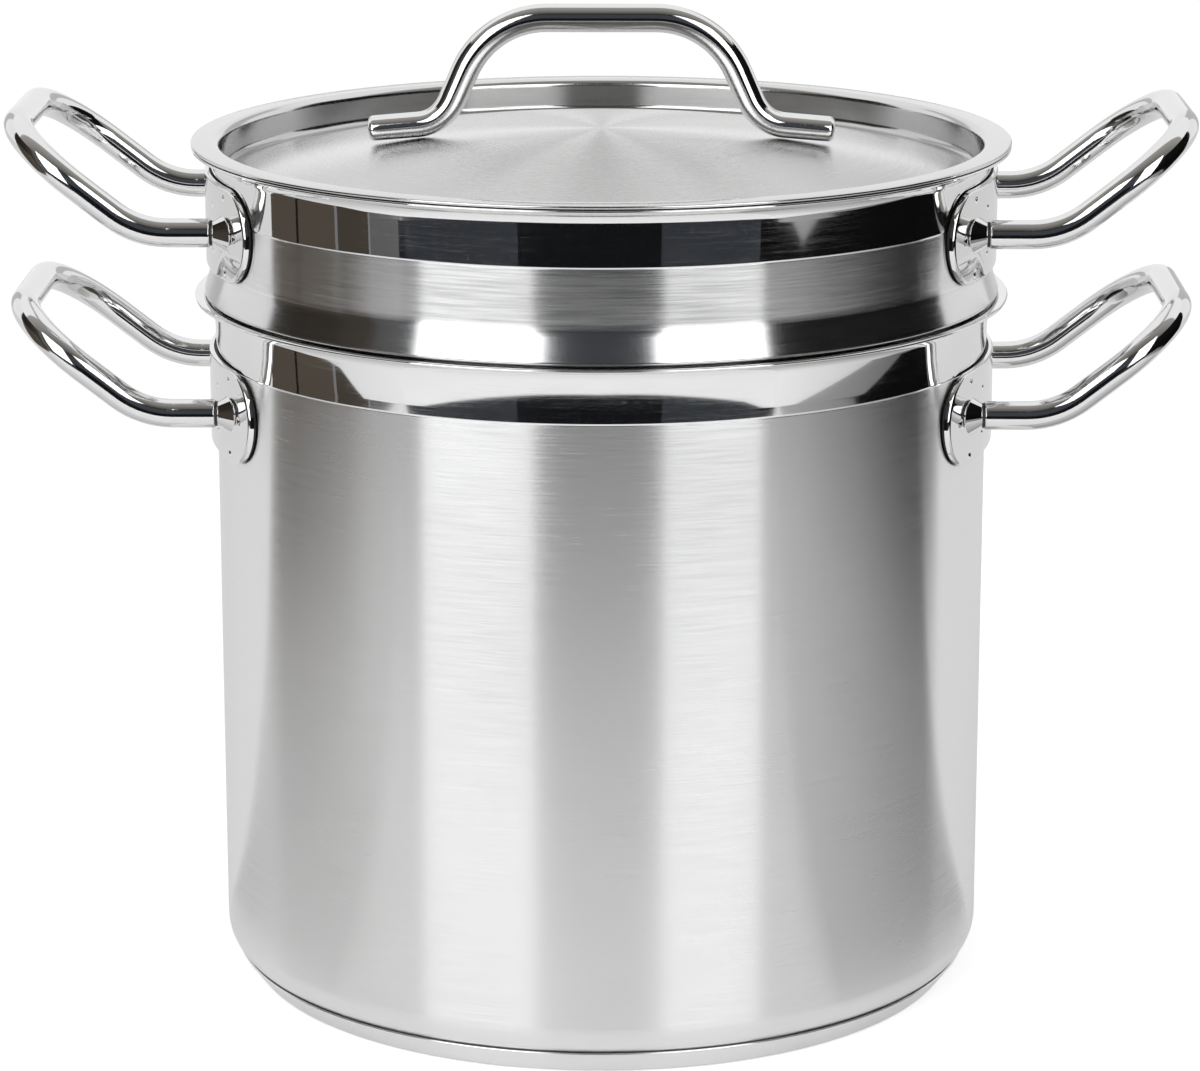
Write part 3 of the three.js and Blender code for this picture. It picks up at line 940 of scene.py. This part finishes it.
# Painted fall-off of light towards the table's sides, and painted shadow of the pot beside it: azimuths,
# brightness at each, and share left at the pot
SIDE_TABLES = [((-55, -107), (0.97, 0.66), 0.74), ((49, 103), (0.97, 0.45), 0.58)]
SIDE_TABLE_START = 0.17
SIDE_SHADE_REACH = 0.62  # where the shade beside the pot ends
# Walls round the front: azimuths, tint, and brightness low down and higher up
FRONT_WALLS = [
    (-107, -95, BROWN, 0.07, 0.02), (-95, -94, BROWN, 0.01, 0.01), (-94, -79, BROWN, 0.07, 0.025),
    (-79, -78, NEUTRAL, 0.2, 0.04), (-78, -67, BROWN, 0.05, 0.04), (-67, -66.4, NEUTRAL, 0.22, 0.10),
    (-66.4, -57, NEUTRAL, 0.12, 0.10), (-57, -55, COOL, 0.02, 0.06), (-55, -22, COOL, 0.04, 0.06),
    (-22, 17, COOL, 0.008, 0.06), (17, 45, COOL, 0.04, 0.05), (45, 114, NEUTRAL, 0.004, 0.006),
]
BACK_WALLS = [(114, 146, PALE), (146, 166, SHADE), (166, 206, PALE), (206, 220, SHADE), (220, 253, PALE)]


def seen_rays(tree):
    """1 for rays from the camera, a mirror or glass, 0 for light that falls on a rough surface."""
    path = add_node(tree, "ShaderNodeLightPath")
    either = add_node(tree, "ShaderNodeMath",
                      {0: path.outputs["Is Camera Ray"], 1: path.outputs["Is Glossy Ray"]},
                      operation="MAXIMUM")
    return add_node(tree, "ShaderNodeMath",
                    {0: either.outputs["Value"], 1: path.outputs["Is Transmission Ray"]},
                    operation="MAXIMUM").outputs["Value"]


def floor_material():
    """Pale matt floor that keeps the shadow."""
    material, tree, shader = new_material("floor")
    tree.nodes.remove(shader)
    output = tree.nodes["Material Output"]
    matt = add_node(tree, "ShaderNodeBsdfDiffuse", values={"Color": FLOOR_PAINT})
    camera_ray = add_node(tree, "ShaderNodeLightPath").outputs["Is Camera Ray"]
    extra = add_node(tree, "ShaderNodeMath", {0: camera_ray}, {1: FLOOR_CAMERA_GLOW}, operation="MULTIPLY")
    strength = add_node(tree, "ShaderNodeMath", {0: seen_rays(tree), 2: extra.outputs["Value"]},
                        {1: FLOOR_GLOW}, operation="MULTIPLY_ADD")
    glow = add_node(tree, "ShaderNodeEmission", {"Strength": strength.outputs["Value"]})
    both = add_node(tree, "ShaderNodeAddShader", {0: matt.outputs["BSDF"], 1: glow.outputs["Emission"]})
    tree.links.new(both.outputs["Shader"], output.inputs["Surface"])
    return material


def card_material(name, colour, strength):
    """A card of one plain brightness."""
    material, tree, shader = new_material(name)
    tree.nodes.remove(shader)
    glow = add_node(tree, "ShaderNodeEmission", values={"Color": (*colour, 1), "Strength": strength})
    tree.links.new(glow.outputs["Emission"], tree.nodes["Material Output"].inputs["Surface"])
    return material


def ceiling_material():
    """Dark towards the front and lighter overhead."""
    material = card_material("ceiling", WARM, 1.0)
    tree = material.node_tree
    place = add_node(tree, "ShaderNodeTexCoord").outputs["Object"]
    back = add_node(tree, "ShaderNodeSeparateXYZ", {"Vector": place}).outputs["Y"]
    level = add_node(tree, "ShaderNodeMapRange", {"Value": back},
                     {"From Min": CEILING_FRONT, "From Max": CEILING_BACK,
                      "To Min": CEILING_DARK, "To Max": CEILING_LIGHT})
    tree.links.new(level.outputs["Result"], tree.nodes["Emission"].inputs["Strength"])
    return material


def graded_material(name, span, levels, near=1.0):
    """A card that changes evenly from one azimuth to another on the same side, and is darkened near the
    pot by painted shadow.
    """
    material = card_material(name, NEUTRAL, 1.0)
    tree = material.node_tree
    side = math.copysign(1, span[0])
    place = add_node(tree, "ShaderNodeTexCoord").outputs["Object"]
    reach = add_node(tree, "ShaderNodeVectorMath", {0: place}, operation="LENGTH").outputs["Value"]
    # darker near the pot: painted shadow of the pot on the table
    shade = add_node(tree, "ShaderNodeMapRange", {"Value": reach},
                     {"From Min": SIDE_TABLE_START, "From Max": SIDE_SHADE_REACH,
                      "To Min": near, "To Max": 1.0})
    place = add_node(tree, "ShaderNodeMapping", {"Vector": place}, {"Scale": (side, 1, 1)})
    turn = add_node(tree, "ShaderNodeTexGradient", {"Vector": place.outputs["Vector"]},
                    gradient_type="RADIAL")
    first, last = [(side * angle - math.pi / 2) / (2 * math.pi) + 0.5 for angle in span]
    level = add_node(tree, "ShaderNodeMapRange", {"Value": turn.outputs["Fac"]},
                     {"From Min": first, "From Max": last, "To Min": levels[0], "To Max": levels[1]})
    strength = add_node(tree, "ShaderNodeMath",
                        {0: level.outputs["Result"], 1: shade.outputs["Result"]}, operation="MULTIPLY")
    tree.links.new(strength.outputs["Value"], tree.nodes["Emission"].inputs["Strength"])
    return material


def stage_mesh(name, rows, material, mirror_only=True):
    """A stage surface through rows of points; a mirror_only one shows in reflections alone."""
    mesh = bmesh.new()
    grid = [[mesh.verts.new(point) for point in row] for row in rows]
    for low, high in pairwise(grid):
        for (a, b), (d, c) in zip(pairwise(low), pairwise(high)):
            mesh.faces.new(list(dict.fromkeys((a, b, c, d))))
    data = bpy.data.meshes.new(name)
    mesh.to_mesh(data)
    mesh.free()
    data.materials.append(material)
    made = bpy.data.objects.new(name, data)
    bpy.context.scene.collection.objects.link(made)
    if mirror_only:
        made.visible_camera = False
        made.visible_diffuse = False
        made.visible_shadow = False


def span_of(start, end):
    return math.radians(start), math.radians(end)


def room_point(radius, angle, height):
    """A point round the pot's axis; angle 0 is at the front, and positive angles go to the right."""
    return radius * math.sin(angle), -radius * math.cos(angle), height


def arc(radius, height, span):
    start, end = span
    angles = [start + (end - start) * k / STAGE_SEGMENTS for k in range(STAGE_SEGMENTS + 1)]
    return [room_point(radius, angle, height) for angle in angles]


def edge_points(corners, lift, span):
    """Points along a straight-sided edge on the floor, as far round as a stretch of the room."""
    points = []
    for x, y, z in arc(1.0, lift, span):
        angle = math.atan2(x, -y)
        for (start, near), (end, far) in pairwise(corners):
            first, last = span_of(start, end)
            if first - ANGLE_SLACK <= angle <= last + ANGLE_SLACK:
                share = math.sin(last - angle) / near + math.sin(angle - first) / far
                reach = math.sin(last - first) / share
        points.append((x * reach, y * reach, z))
    return points


def front_walls():
    """Dark walls round the front, each with the floor between it and the table."""
    for start, end, tint, low, high in FRONT_WALLS:
        span = span_of(start, end)
        split = arc(ROOM_RADIUS, WALL_SPLIT, span)
        foot = [edge_points(TABLE_EDGE, CARD_LIFT, span), arc(ROOM_RADIUS, CARD_LIFT, span), split]
        head = [split, arc(ROOM_RADIUS, ROOM_HEIGHT, span)]
        stage_mesh(f"wall_low_{start}", foot, card_material(f"wall_low_{start}", tint, low))
        stage_mesh(f"wall_high_{start}", head, card_material(f"wall_high_{start}", tint, high))


def tables():
    """The grey floor beside the table, and the table's own sides."""
    span = span_of(GREY_EDGE[0][0], GREY_EDGE[-1][0])
    rows = [edge_points(edge, 2 * CARD_LIFT, span) for edge in (TABLE_EDGE, GREY_EDGE)]
    stage_mesh("grey_floor", rows, graded_material("grey_floor", span, GREY_LEVELS))
    # the table's sides: painted fall-off of light towards the sides, and painted shadow of the pot near it
    for (start, end), levels, near in SIDE_TABLES:
        span = span_of(start, end)
        rows = [arc(SIDE_TABLE_START, CARD_LIFT, span), edge_points(TABLE_EDGE, CARD_LIFT, span)]
        name = f"side_table_{start}"
        stage_mesh(name, rows, graded_material(name, span, levels, near))


def back_walls():
    for start, end, level in BACK_WALLS:
        span = span_of(start, end)
        rows = [arc(ROOM_RADIUS, height, span) for height in (CARD_LIFT, ROOM_HEIGHT)]
        stage_mesh(f"wall_{start}", rows, card_material(f"wall_{start}", NEUTRAL, level))


def studio():
    """White floor, the room that polished steel shows, and the lights."""
    floor_rows = [arc(radius, 0, (-math.pi, math.pi)) for radius in FLOOR_RADII]
    stage_mesh("floor", floor_rows, floor_material(), mirror_only=False)
    front_walls()
    tables()
    back_walls()
    ceiling = [[(x, y, ROOM_HEIGHT) for x in (-ROOM_RADIUS, ROOM_RADIUS)]
               for y in (-ROOM_RADIUS, CEILING_BACK)]
    stage_mesh("ceiling", ceiling, ceiling_material())
    for name, azimuth, width, power in SOFTBOXES:
        softbox(name, math.radians(azimuth), width, power)
    world_light()


def softbox(name, angle, width, power):
    """Upright soft light that faces the pot's axis."""
    data = bpy.data.lights.new(name, "AREA")
    data.shape = "RECTANGLE"
    data.size = width
    data.size_y = SOFTBOX_TALL
    data.energy = power
    lamp = bpy.data.objects.new(name, data)
    lamp.location = room_point(SOFTBOX_DISTANCE, angle, SOFTBOX_HEIGHT)
    aim = Vector((0, 0, SOFTBOX_AIM)) - lamp.location
    lamp.rotation_euler = aim.to_track_quat("-Z", "Y").to_euler()
    bpy.context.scene.collection.objects.link(lamp)


def world_light():
    """White where it is looked at or mirrored, and a plain even light on rough surfaces."""
    world = bpy.data.worlds.new("studio")
    bpy.context.scene.world = world
    world.use_nodes = True
    tree = world.node_tree
    tree.nodes.clear()
    even = add_node(tree, "ShaderNodeBackground", values={"Strength": WORLD_LEVEL, "Color": (1, 1, 1, 1)})
    white = add_node(tree, "ShaderNodeBackground", values={"Strength": 1.0, "Color": (1, 1, 1, 1)})
    mix = add_node(tree, "ShaderNodeMixShader",
                   {0: seen_rays(tree), 1: even.outputs["Background"], 2: white.outputs["Background"]})
    output = add_node(tree, "ShaderNodeOutputWorld")
    tree.links.new(mix.outputs["Shader"], output.inputs["Surface"])


def camera():
    """The photograph's view."""
    data = bpy.data.cameras.new("camera")
    data.sensor_width = SENSOR_WIDTH
    data.lens = SENSOR_WIDTH * CAMERA_FOCAL_PIXELS / IMAGE_WIDTH
    data.shift_x = (IMAGE_WIDTH / 2 - CAMERA_CENTRE_X) / IMAGE_WIDTH
    data.clip_end = CAMERA_REACH
    view = bpy.data.objects.new("camera", data)
    view.location = room_point(CAMERA_DISTANCE, CAMERA_AZIMUTH, CAMERA_HEIGHT)
    view.rotation_euler = (math.pi / 2 - CAMERA_PITCH, 0, CAMERA_AZIMUTH)
    bpy.context.scene.collection.objects.link(view)
    bpy.context.scene.camera = view


brushed = brushed_steel("brushed_steel", tone=(0.76, 0.87), roughness=(0.21, 0.27), fineness=2000.0)
collar = brushed_steel("collar_steel", tone=(0.76, 0.92), roughness=(0.17, 0.24), fineness=2000.0)
foot = brushed_steel("foot_steel", tone=(0.66, 0.72), roughness=(0.14, 0.20), fineness=2600.0,
                     anisotropy=0.8)
satin = brushed_steel("satin_steel", tone=(0.66, 0.75), roughness=(0.24, 0.34), fineness=1500.0)
# the recess wall's steel is toned darker than the lid's other steel: painted shade in the recess
recess = brushed_steel("recess_steel", tone=(0.50, 0.60), roughness=(0.11, 0.17), fineness=1500.0,
                       anisotropy=0.9)
buffed = buffed_steel("buffed_steel", tone=(0.79, 0.83), roughness=(0.03, 0.17), wave=0.01 * MM)
mirror = polished_steel("polished_steel", tone=(0.77, 0.81), roughness=(0.02, 0.05), wave=0.01 * MM)
bar = polished_steel("bar_steel", tone=(0.76, 0.80), roughness=(0.05, 0.10), wave=0.01 * MM)
pressed = polished_steel("pressed_steel", tone=(0.67, 0.72), roughness=(0.12, 0.18), wave=0.02 * MM)
weld_and_gap_shade = weld_and_gap_shade_steel()

pot_sheet([brushed, buffed])
base_cap([brushed])
core_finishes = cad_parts["base_core"].data.materials
core_finishes.clear()
core_finishes.append(rolled_aluminium())
side_pieces("pot", POT_RADIUS, POT_HEIGHT - POT_HANDLE_DROP, bar, mirror, weld_and_gap_shade)
insert_sheet([brushed, buffed, foot, collar])
side_pieces("insert", COLLAR_RADIUS, PLATE_BOTTOM + PLATE_HEIGHT / 2, bar, mirror, weld_and_gap_shade)
lid_sheet([satin, pressed, recess])
lid_bar(bar)

camera()
studio()
bpy.context.scene.view_settings.view_transform = "Standard"
